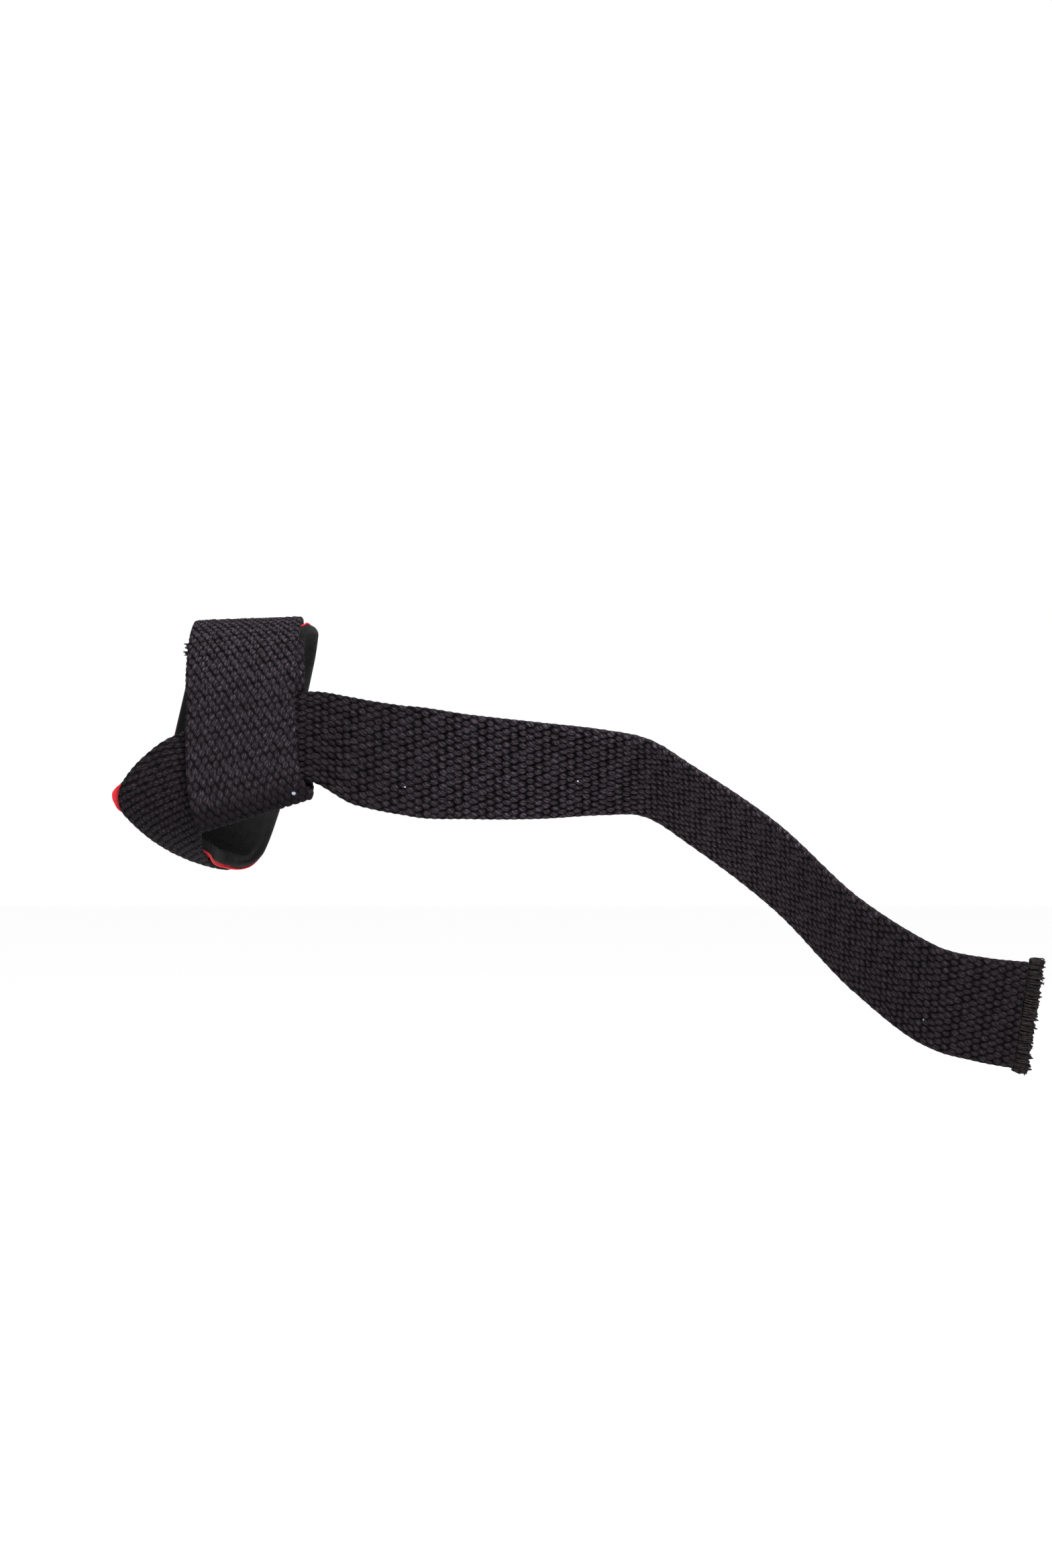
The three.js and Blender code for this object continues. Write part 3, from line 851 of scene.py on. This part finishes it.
rng = np.random.default_rng(7)
overlock_strands = []
loop_out, loop_depth = np.array(OVERLOCK_LOOP).T
loop_points = len(loop_out)
for aside in np.arange(-OVERLOCK_HALF, OVERLOCK_HALF + 0.1, OVERLOCK_STEP):
    stray = rng.normal(0, LOOP_STRAY, 3)
    reach = loop_out + np.where(loop_out > 0, stray[0] + 0.1, 0)
    reach = reach + rng.normal(0, LOOP_ROUGH_ALONG, loop_points)
    lean = aside + stray[1] + OVERLOCK_LEAN * np.linspace(-1, 1, loop_points)
    lean = lean + rng.normal(0, LOOP_ROUGH_ACROSS, loop_points)
    line = at_gone(run_length + reach, lean, loop_depth * (1 + 0.35 * stray[2]))
    radius = OVERLOCK_RADIUS * (1 + 0.5 * stray[1]) * rng.uniform(0.8, 1.2, loop_points)
    overlock_strands.append((line, radius))
wide, under, sink = TIP_ROW
tip_row_gone = run_length - OVERLOCK_WIDE - TIP_ROW_FROM_OVERLOCK
overlock_strands += stitch_row(tip_row_gone, wide, -half_thick + under, sink)

sewn = {}
for name, strands in (("seam_stitches", seam_strands), ("tip_overlock", overlock_strands)):
    piece = sewn[name] = strand_mesh(name, strands)
    piece.data.materials.append(thread)
    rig.ride(piece, "root")
    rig.slot(piece, "cotton_webbing")

# The fray: loose black yarn ends, as dark as the thread, that stick out of the overlock at the tip
# and out of the raw return end beside the seam. Only the weave and the stitches hold them.
FRAY_POINTS = 7
# loose ends along the tip, on its two sides and along the return end: count, least and most length,
# least and most radius
TIP_ENDS = (110, (0.7, 1.35), (0.3, 0.52))
SIDE_ENDS = (14, (0.4, 0.9), (0.28, 0.45))
RETURN_ENDS = (50, (0.8, 1.8), 0.16)
TIP_HALF = 18.8
SIDE_ASIDE = 19.0
RETURN_HALF = 18.0
# tufts on the return end's left edge: mm from the end, and length
TUFTS = ((0.7, 3.7), (2.4, 3.7), (4.6, 4.1))
TUFT_YARNS = 6
TUFT_ASIDE = -18.0
TUFT_WAY = (-1.0, -0.15, 0.0)
TUFT_RADIUS = (0.42, 0.6)


def loose_end(root, way, length, radius, stray=0.3):
    """A blunt yarn end that leaves root along way and bends off at random."""
    t = np.linspace(0, 1, FRAY_POINTS)[:, None]
    bend = rng.normal(0, stray, 3)
    line = root + length * (way * t + bend * t**2)
    return line, radius * (1 - 0.6 * t[:, 0] ** 4) * rng.uniform(0.8, 1.2, FRAY_POINTS)


fray_strands = []
count, lengths, radii = TIP_ENDS
for aside in rng.uniform(-TIP_HALF, TIP_HALF, count):
    depth = rng.uniform(-0.9, 0.9)
    root, ahead = at_gone([run_length - 0.4, run_length + 0.6], aside, depth)
    way = (ahead - root) / np.linalg.norm(ahead - root) + rng.normal(0, 0.3, 3)
    fray_strands.append(loose_end(root, way, rng.uniform(*lengths) ** 1.4, rng.uniform(*radii)))
count, lengths, radii = SIDE_ENDS
for side in (-1, 1):
    for _ in range(count):
        gone = run_length - rng.uniform(0.2, 3.6)
        root = at_gone([gone], [side * SIDE_ASIDE], [rng.uniform(-0.8, 0.8)])[0]
        way = lie.across[-1] * side + 0.3 * lie.along[-1] + rng.normal(0, 0.25, 3)
        fray_strands.append(loose_end(root, way, rng.uniform(*lengths), rng.uniform(*radii)))
return_strands = []
for tuft, length in TUFTS:
    for _ in range(TUFT_YARNS):
        root = at_gone([tuft + rng.normal(0, 0.4)], [TUFT_ASIDE], [rng.uniform(-0.8, 0.8)])[0]
        way = np.array(TUFT_WAY) + rng.normal(0, 0.06, 3)
        yarn_length = length * rng.uniform(0.9, 1.1)
        return_strands.append(loose_end(root, way, yarn_length, rng.uniform(*TUFT_RADIUS), 0.1))
count, lengths, radius = RETURN_ENDS
for aside in rng.uniform(-RETURN_HALF, RETURN_HALF, count):
    root = at_gone([0.4], [aside], [rng.uniform(-0.8, 0.8)])[0]
    way = -lie.along[0] + rng.normal(0, 0.3, 3)
    return_strands.append(loose_end(root, way, rng.uniform(*lengths), radius))
for name, strands in (("tip_fray", fray_strands), ("return_fray", return_strands)):
    piece = sewn[name] = strand_mesh(name, strands, 5)
    piece.data.materials.append(thread)
    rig.ride(piece, "root")
    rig.slot(piece, "cotton_webbing")
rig.sheet(*webbing["end_loop_webbing"], with_pieces=[sewn["seam_stitches"], sewn["return_fray"]])
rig.sheet(*webbing["tip_webbing"], with_pieces=[sewn["tip_overlock"], sewn["tip_fray"]])

with open("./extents.json", "w") as size_file:
    json.dump({"cad": [list(map(float, c)) for c in cad_box],
               "visual": [list(map(float, c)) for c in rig.bounds()]}, size_file)
